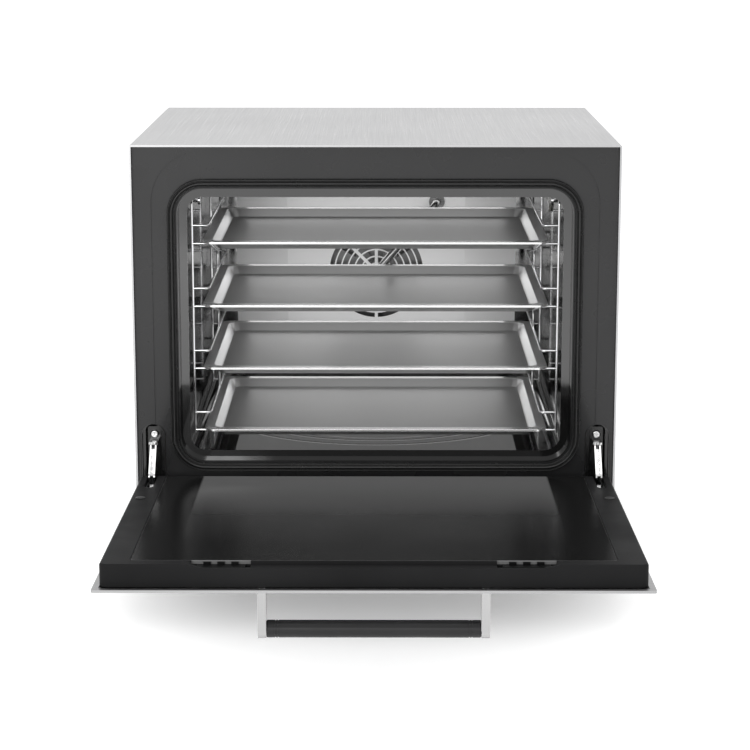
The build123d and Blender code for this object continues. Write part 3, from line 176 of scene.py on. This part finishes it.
def enamel(name, color, roughness, specular=0.5, coat=0.35):
    """Glossy black enamel with a slight orange peel."""
    paint = Paint(
        name, color, roughness, Specular_IOR_Level=specular, Coat_Weight=coat, Coat_Roughness=0.08
    )
    paint.vary_roughness(paint.noise((14, 14, 14)), 0.05)
    paint.vary_color(paint.noise((6, 6, 6)), 0.15)
    return paint.bump(paint.noise((260, 260, 260), detail=1), 0.00006, 0.25)


def polished(name, color, roughness, ripple=0.00025):
    """Bright rolled steel: nearly mirror smooth, gently rippled."""
    paint = Paint(name, color, roughness, metallic=1.0)
    paint.vary_roughness(paint.noise((30, 30, 30)), 0.05)
    paint.vary_color(paint.noise((4, 4, 4)), 0.06)
    paint.bump(paint.noise((9, 9, 9), detail=1), ripple, 0.5)
    return paint.bump(paint.noise((700, 20, 700), detail=2), 0.00001, 0.2)


def graded(name, paint, axis, stops):
    """Colours a finish along an object axis; stops are (place, colour) pairs, low to high."""
    split = paint.node("ShaderNodeSeparateXYZ")
    paint.link(paint.place.outputs["Object"], split.inputs["Vector"])
    low, high = stops[0][0], stops[-1][0]
    along = paint.remap(split.outputs[axis], 0, 1, low, high)
    ramp = paint.node("ShaderNodeValToRGB")
    ramp.name = name
    ends = ramp.color_ramp.elements
    while len(ends) < len(stops):
        ends.new(0.5)
    for element, (place, color) in zip(ends, stops):
        element.position = (place - low) / (high - low)
        element.color = (*color, 1)
    paint.link(along, ramp.inputs["Fac"])
    return ramp.outputs["Color"]


def door_pane(name, printed, stops, half, low, high):
    """Smoked glass with a black print beside and beyond its window; a painted reflection makes the
    window lighter towards the hinge, and a painted highlight makes its edges lighter grey.
    """
    paint = Paint(name, printed, 0.22, Specular_IOR_Level=0.012)
    split = paint.node("ShaderNodeSeparateXYZ")
    paint.link(paint.place.outputs["Object"], split.inputs["Vector"])
    side = paint.node("ShaderNodeMath")
    side.operation = "ABSOLUTE"
    paint.link(split.outputs["X"], side.inputs[0])
    across = paint.remap(side.outputs[0], 1, 0, half - PRINT_EDGE, half + PRINT_EDGE)
    near = paint.remap(split.outputs["Y"], 1, 0, high - PRINT_EDGE, high + PRINT_EDGE)
    far = paint.remap(split.outputs["Y"], 0, 1, low - PRINT_EDGE, low + PRINT_EDGE)
    inside = across
    for part in (near, far):
        product = paint.node("ShaderNodeMath")
        product.operation = "MULTIPLY"
        paint.link(inside, product.inputs[0])
        paint.link(part, product.inputs[1])
        inside = product.outputs[0]
    mix = paint.node("ShaderNodeMix")
    mix.data_type = "RGBA"
    mix.inputs[6].default_value = (*printed, 1)
    # painted reflection: the window is lighter towards the hinge, graded along Y
    paint.link(graded("painted_reflection", paint, "Y", stops), mix.inputs[7])
    paint.link(inside, mix.inputs[0])
    # painted highlight: faces not facing up, such as the pane's edges, are lighter grey
    facing = paint.node("ShaderNodeSeparateXYZ")
    paint.link(paint.place.outputs["Normal"], facing.inputs["Vector"])
    flat = paint.remap(facing.outputs["Z"], 0, 1, 0.80, 0.93)
    edge_highlight = paint.node("ShaderNodeMix")
    edge_highlight.data_type = "RGBA"
    edge_highlight.inputs[6].default_value = (*grey(0.16), 1)
    paint.link(flat, edge_highlight.inputs[0])
    paint.link(mix.outputs[2], edge_highlight.inputs[7])
    paint.link(edge_highlight.outputs[2], paint.shader.inputs["Base Color"])
    paint.vary_roughness(paint.noise((12, 12, 12)), 0.03)
    return paint


def lined(name, color, painted_front_color, roughness, start, end):
    """Polished cavity sheet: a painted dark reflection and shade darkens the front lip, and oval
    beads show on the floor as bumps with a painted highlight.
    """
    paint = polished(name, color, roughness)
    # painted dark reflection and shade: the front lip is darker, fading to the wall colour deeper
    # in
    lip_shade = graded("painted_lip_shade", paint, "Y", [(start, painted_front_color), (end, color)])
    ovals = paint.node("ShaderNodeMapping")
    ovals.inputs["Scale"].default_value = (1 / OVAL_HALF[0], 1 / OVAL_HALF[1], 0)
    paint.link(paint.place.outputs["Object"], ovals.inputs["Vector"])
    reach = paint.node("ShaderNodeVectorMath")
    reach.operation = "LENGTH"
    paint.link(ovals.outputs["Vector"], reach.inputs[0])
    low, high = OVAL_SPAN
    bead = paint.node("ShaderNodeValToRGB")
    ends = bead.color_ramp.elements
    for place in OVAL_BEADS:
        for offset, value in ((-BEAD_HALF, 0.0), (0.0, 1.0), (BEAD_HALF, 0.0)):
            made = ends.new((place + offset - low) / (high - low))
            made.color = (value, value, value, 1)
    for outermost in (ends[0], ends[-1]):
        outermost.color = (0, 0, 0, 1)
    paint.link(paint.remap(reach.outputs["Value"], 0, 1, low, high), bead.inputs["Fac"])
    split = paint.node("ShaderNodeSeparateXYZ")
    paint.link(paint.place.outputs["Object"], split.inputs["Vector"])
    on_floor = paint.remap(split.outputs["Z"], 1, 0, *FLOOR_BAND)
    beads_and_highlight = paint.node("ShaderNodeMath")
    beads_and_highlight.operation = "MULTIPLY"
    paint.link(bead.outputs["Color"], beads_and_highlight.inputs[0])
    paint.link(on_floor, beads_and_highlight.inputs[1])
    # painted highlight: the beads are lighter and less metallic so they show as bright lines; the
    # bump gives their real shape
    mix = paint.node("ShaderNodeMix")
    mix.data_type = "RGBA"
    mix.inputs[7].default_value = (*grey(0.80), 1)
    paint.link(beads_and_highlight.outputs[0], mix.inputs[0])
    paint.link(lip_shade, mix.inputs[6])
    paint.link(mix.outputs[2], paint.shader.inputs["Base Color"])
    paint.link(paint.remap(beads_and_highlight.outputs[0], 1, 0.1, 0, 1), paint.shader.inputs["Metallic"])
    return paint.bump(beads_and_highlight.outputs[0], 0.0012, 0.8)


def tray_sheet(name, color, side_highlight, painted_front_color):
    """Brushed tray metal with painted highlights: brighter on its sloping sides and brightest on
    the front flange, both also glossier.
    """
    paint = brushed(name, color, 0.42, ALONG_WIDTH, spread=0.06, metallic=0.9)
    low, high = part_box("tray_1")
    half = high.x
    fold, start = half - TRAY_SIDE, half - TRAY_MIDDLE
    side_highlight_and_gloss = []
    # painted highlight: the sloping sides are lighter than the middle; the second ramp makes them
    # glossier
    for side_value, middle_value in ((side_highlight, color), (grey(0.30), grey(0.42))):
        stops = [
            (-half, side_value), (-fold, side_value), (-start, middle_value),
            (start, middle_value), (fold, side_value), (half, side_value),
        ]
        side_highlight_and_gloss.append(graded("side", paint, "X", stops))
    front = low.y
    lip = front + TRAY_FRONT
    # painted highlight: the front flange is lightest, and glossier
    for value, side_value, middle_value, blend, socket in (
        (side_highlight_and_gloss[0], painted_front_color, grey(0), "LIGHTEN", "Base Color"),
        (side_highlight_and_gloss[1], grey(0.24), grey(1), "DARKEN", "Roughness"),
    ):
        mix = paint.node("ShaderNodeMix")
        mix.data_type = "RGBA"
        mix.blend_type = blend
        mix.inputs[0].default_value = 1
        stops = [(front, side_value), (lip, side_value), (lip + 1 * MM, middle_value)]
        paint.link(value, mix.inputs[6])
        paint.link(graded("front", paint, "Y", stops), mix.inputs[7])
        paint.link(mix.outputs[2], paint.shader.inputs[socket])
    return paint


casing_steel = brushed("casing_steel", (0.50, 0.50, 0.505), 0.34, ALONG_DEPTH)
panel_steel = brushed("panel_steel", (0.40, 0.40, 0.403), 0.36, ALONG_WIDTH, spread=0.12)
base_steel = satin("galvanised", (0.47, 0.48, 0.49), 0.42, mottle=0.06, scale=25)
black_enamel = enamel("black_enamel", (0.013, 0.013, 0.0135), 0.28, specular=0.35, coat=0.25)
pocket_black = enamel("pocket_black", grey(0.010), 0.20, specular=0.5, coat=0.3)
door_black = enamel("door_black", (0.017, 0.017, 0.0174), 0.45, specular=0.02, coat=0.0)
silicone = moulded(
    "silicone", grey(0.008), 0.24, tooth=600, depth=0.00002, Specular_IOR_Level=0.4
)
liner_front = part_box("cavity_liner")[0].y
lip_start, lip_end = (liner_front + deep for deep in LIP_DEEP)
# grey(0.10) is the painted dark reflection and shade on the front lip
cavity_steel = lined("cavity_steel", grey(0.22), grey(0.10), 0.07, lip_start, lip_end)
bright_steel = polished("bright_steel", (0.66, 0.66, 0.67), 0.12, ripple=0.00004)
cover_steel = satin("cover_steel", grey(0.93), 0.50, metallic=0.15, mottle=0.02, scale=30)
# grey(0.75) and grey(0.92) are painted highlights on the sides and front flange
tray_metal = tray_sheet("tray_metal", grey(0.44), grey(0.75), grey(0.92))
bright_wire = polished("bright_wire", (0.85, 0.85, 0.86), 0.10, ripple=0.00002)
hinge_steel = polished("hinge_steel", grey(0.62), 0.12, ripple=0.00004)
hinge_steel.bump(hinge_steel.noise((160, 160, 30)), 0.0007, 0.6)
bracket_steel = polished("bracket_steel", grey(0.42), 0.14, ripple=0.00004)
pipe_steel = satin("pipe_steel", grey(0.22), 0.28)
screw_steel = satin("screw_steel", (0.75, 0.75, 0.75), 0.22)
black_plastic = moulded("black_plastic", (0.015, 0.015, 0.015), 0.42)
clip_black = moulded(
    "clip_black", grey(0.004), 0.35, tooth=900, depth=0.00002, Specular_IOR_Level=0.1
)
grip_plastic = moulded(
    "grip_plastic", (0.010, 0.010, 0.0105), 0.42, tooth=900, depth=0.00006,
    Specular_IOR_Level=0.3,
)
button_plastic = moulded("button_plastic", (0.55, 0.55, 0.56), 0.30)
fan_aluminium = satin("fan_aluminium", (0.22, 0.22, 0.22), 0.40)
motor_paint = moulded("motor_paint", (0.05, 0.05, 0.055), 0.5, tooth=400)
element_steel = satin("element_steel", (0.16, 0.15, 0.14), 0.42, mottle=0.2)
ceramic = moulded("ceramic", (0.75, 0.73, 0.68), 0.35)
switch_plastic = moulded("switch_plastic", (0.10, 0.10, 0.11), 0.5)
board_green = moulded("board_green", (0.02, 0.10, 0.04), 0.45, tooth=500)
mineral_wool = moulded("mineral_wool", (0.42, 0.40, 0.28), 0.95, tooth=350, depth=0.0008)
brass = satin("brass", (0.62, 0.45, 0.20), 0.30)
hose_rubber = moulded("hose_rubber", (0.02, 0.02, 0.02), 0.55)
lamp_glass = moulded("lamp_glass", (0.85, 0.84, 0.80), 0.12, Transmission_Weight=0.8)
lens_amber = moulded("lens_amber", (0.55, 0.20, 0.03), 0.15, Transmission_Weight=0.3)

glass_low, glass_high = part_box("door_inner_glass")
pane_front = glass_low.y + PRINT_FRONT
pane_rear = glass_high.y + PRINT_REAR
# painted reflection: the window's colour grows lighter from the far edge towards the hinge
pane_reflection_stops = [
    (glass_low.y, grey(0.006)), (pane_front, grey(0.008)),
    ((glass_low.y + glass_high.y) / 2, grey(0.024)), (glass_high.y, grey(0.14)),
]
inner_glass = door_pane("inner_glass", grey(0.008), pane_reflection_stops, WINDOW_HALF, pane_front, pane_rear)
outer_glass = moulded("outer_glass", (0.006, 0.006, 0.007), 0.06, tooth=40, depth=0.00002)

FINISH = {
    "outer_casing": casing_steel, "rear_panel": base_steel, "base_plate": base_steel,
    "control_panel": panel_steel, "door_outer_panel": panel_steel,
    "front_frame": black_enamel, "hinge_pockets": pocket_black, "door_inner_frame": door_black,
    "door_gasket": silicone, "cavity_liner": cavity_steel, "fan_cover": cover_steel,
    "steam_pipe": pipe_steel, "exhaust_pipe": bright_steel, "temperature_probe": bright_steel,
    "handle_brackets": bracket_steel, "handle_tube": bright_steel, "handle_grip": grip_plastic,
    "side_rack_left": bright_wire, "side_rack_right": bright_wire, "rack_studs": bright_wire,
    "hinge_arms": hinge_steel, "hinge_pins": hinge_steel, "hinge_receivers": pocket_black,
    "hinge_channels": base_steel, "hinge_springs": base_steel, "hinge_screws": screw_steel,
    "rear_screws": screw_steel, "fan_cover_screws": screw_steel, "handle_screws": screw_steel,
    "door_inner_glass": inner_glass, "door_outer_glass": outer_glass,
    "glass_clips": clip_black, "frame_plugs": black_plastic, "feet": black_plastic,
    "temperature_knob": black_plastic, "timer_knob": black_plastic, "humidity_knob": black_plastic,
    "cable_gland": black_plastic, "cooling_fan_housing": black_plastic,
    "cooling_fan_wheel": black_plastic, "light_button": button_plastic,
    "start_button": button_plastic, "fan_wheel": fan_aluminium, "fan_motor": motor_paint,
    "heating_element": element_steel, "lamp_lens": lamp_glass, "lamp_bulb": lamp_glass,
    "indicator_lenses": lens_amber, "lamp_housing": ceramic, "terminal_block": ceramic,
    "switch_units": switch_plastic, "button_switches": switch_plastic,
    "control_board": board_green, "insulation": mineral_wool, "water_valve": brass,
    "water_line": hose_rubber,
}
for level in TRAY_LEVELS:
    FINISH[f"tray_{level}"] = tray_metal
for name, obj in NODES.items():
    obj.data.materials.clear()
    obj.data.materials.append(FINISH[name].material)


# ---------------------------------------------------------------- door gasket
def mouth_loop(box, radius, corner_steps=14):
    """Points and outward directions round a rounded rectangle that fits a node's box."""
    low, high = box
    loop = []
    quarters = (
        (high.x, high.z, 0), (low.x, high.z, 90), (low.x, low.z, 180), (high.x, low.z, 270)
    )
    for x, z, start in quarters:
        centre_x = x - math.copysign(radius, x)
        centre_z = z - radius if z == high.z else z + radius
        for step in range(corner_steps + 1):
            angle = math.radians(start + 90 * step / corner_steps)
            out = Vector((math.cos(angle), 0, math.sin(angle)))
            loop.append((Vector((centre_x, 0, centre_z)) + out * radius, out))
    return loop


def ribbed_gasket():
    """Silicone seal with a middle bulb and a thin lip on each side, swept round the mouth."""
    low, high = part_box("door_gasket")
    base, rise = high.y, high.y - low.y
    # mm in from the outer edge, and height as a part of the seal's own
    ribs = [
        (0.0, 0.0), (0.2, 0.45), (0.9, 0.70), (1.7, 0.78), (2.5, 0.70), (3.1, 0.60), (3.8, 0.72),
        (4.8, 0.93), (5.9, 1.0), (7.0, 0.93), (7.9, 0.72), (8.4, 0.58), (9.0, 0.66), (9.7, 0.70),
        (10.3, 0.58), (10.5, 0.30), (10.5, 0.0),
    ]
    mesh = bmesh.new()
    rings = []
    for point, out in mouth_loop((low, high), GASKET_RADIUS):
        ring = []
        for inset, height in ribs:
            spot = point - out * inset * MM
            ring.append(mesh.verts.new((spot.x, base - rise * height, spot.z)))
        rings.append(ring)
    for ring, following in zip(rings, rings[1:] + rings[:1]):
        for index in range(len(ribs)):
            other = (index + 1) % len(ribs)
            mesh.faces.new((ring[index], ring[other], following[other], following[index]))
    bmesh.ops.recalc_face_normals(mesh, faces=mesh.faces)
    data = bpy.data.meshes.new("ribbed_gasket")
    mesh.to_mesh(data)
    mesh.free()
    for face in data.polygons:
        face.use_smooth = True
    obj = bpy.data.objects.new("ribbed_gasket", data)
    bpy.context.scene.collection.objects.link(obj)
    data.materials.append(silicone.material)
    smooth = obj.modifiers.new("smooth", "SUBSURF")
    smooth.levels = smooth.render_levels = 1
    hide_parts("door_gasket")
    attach(obj, "oven")


ribbed_gasket()


# ---------------------------------------------------------------- stage, light and camera
def floor():
    mesh = bpy.data.meshes.new("floor")
    reach = 30.0
    corners = [(-reach, -reach, 0), (reach, -reach, 0), (reach, reach, 0), (-reach, reach, 0)]
    mesh.from_pydata(corners, [], [(0, 1, 2, 3)])
    obj = bpy.data.objects.new("floor", mesh)
    bpy.context.scene.collection.objects.link(obj)
    paint = Paint("floor_white", (0.95, 0.95, 0.95), 0.8, Specular_IOR_Level=0.1)
    paint.shader.inputs["Emission Color"].default_value = (1, 1, 1, 1)
    paint.shader.inputs["Emission Strength"].default_value = 0.25
    paint.vary_color(paint.noise((3, 3, 3)), 0.01)
    mesh.materials.append(paint.material)


# The small lights in the cavity and under the door stand in for scattered light. Powers are watts.
LEVEL_GLOW = (0.15, 0.10, 0.10, 0.10, 0.07)  # facing down, under the roof and under each tray
LEVEL_SIZE = (0.37, 0.27)
LEVEL_Y = -0.05
BACK_GLOW = 0.03  # facing forwards, a thin strip before the fan cover over each tray
BACK_SIZE = (0.36, 0.012)
BACK_GAP = 12 * MM  # from the fan cover
COVER_GLOW = 0.033  # facing the fan cover, a strip over each tray
COVER_SIZE = (0.36, 0.03)
COVER_Y = 0.03


def area_light(name, place, target, size, power):
    """An area light the camera doesn't see; a size with no second side is square."""
    data = bpy.data.lights.new(name, "AREA")
    data.energy = power
    data.size = size[0]
    if size[1]:
        data.shape = "RECTANGLE"
        data.size_y = size[1]
    obj = bpy.data.objects.new(name, data)
    obj.location = place
    obj.rotation_euler = (Vector(target) - Vector(place)).to_track_quat("-Z", "Y").to_euler()
    obj.visible_camera = False
    bpy.context.scene.collection.objects.link(obj)


def world(strength):
    made = bpy.data.worlds.new("studio")
    made.use_nodes = True
    made.node_tree.nodes["Background"].inputs["Color"].default_value = (1, 1, 1, 1)
    made.node_tree.nodes["Background"].inputs["Strength"].default_value = strength
    bpy.context.scene.world = made


def camera():
    data = bpy.data.cameras.new("camera")
    data.lens = 106.4
    data.sensor_width = 36
    data.clip_end = 100
    obj = bpy.data.objects.new("camera", data)
    obj.location = (0.00985, -2.9495, 0.8295)
    obj.rotation_euler = (math.radians(90 - 12.104), 0, math.radians(0.217))
    bpy.context.scene.collection.objects.link(obj)
    bpy.context.scene.camera = obj


floor()
world(1.0)
area_light("overhead", (0, -0.6, 2.4), (0, 0, 0.4), (1.6, None), 12)
area_light("front_fill", (-1.0, -2.9, 0.8), (0, 0, 0.30), (1.4, 0.5), 13)
tray_boxes = [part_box(f"tray_{level}") for level in TRAY_LEVELS]
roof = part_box("cavity_liner")[1].z - 6 * MM
undersides = [roof] + [low.z - 1 * MM for low, _ in tray_boxes]
for index, (height, power) in enumerate(zip(undersides, LEVEL_GLOW)):
    place = (0, LEVEL_Y, height)
    area_light(f"level_glow_{index}", place, (0, LEVEL_Y, 0), LEVEL_SIZE, power)
for index, (_, high) in enumerate(tray_boxes):
    height = high.z + 10 * MM
    place = Vector((0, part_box("fan_cover")[0].y - BACK_GAP, height))
    area_light(f"back_glow_{index}", place, place + Vector((0, -1, 0)), BACK_SIZE, BACK_GLOW)
    place = Vector((0, COVER_Y, height + 25 * MM))
    area_light(f"cover_glow_{index}", place, place + Vector((0, 1, 0)), COVER_SIZE, COVER_GLOW)
area_light("under_door", (0, -0.62, 0.07), (0, -0.62, 0), (0.90, 0.26), 0.42)
camera()
bpy.context.scene.view_settings.view_transform = "Standard"
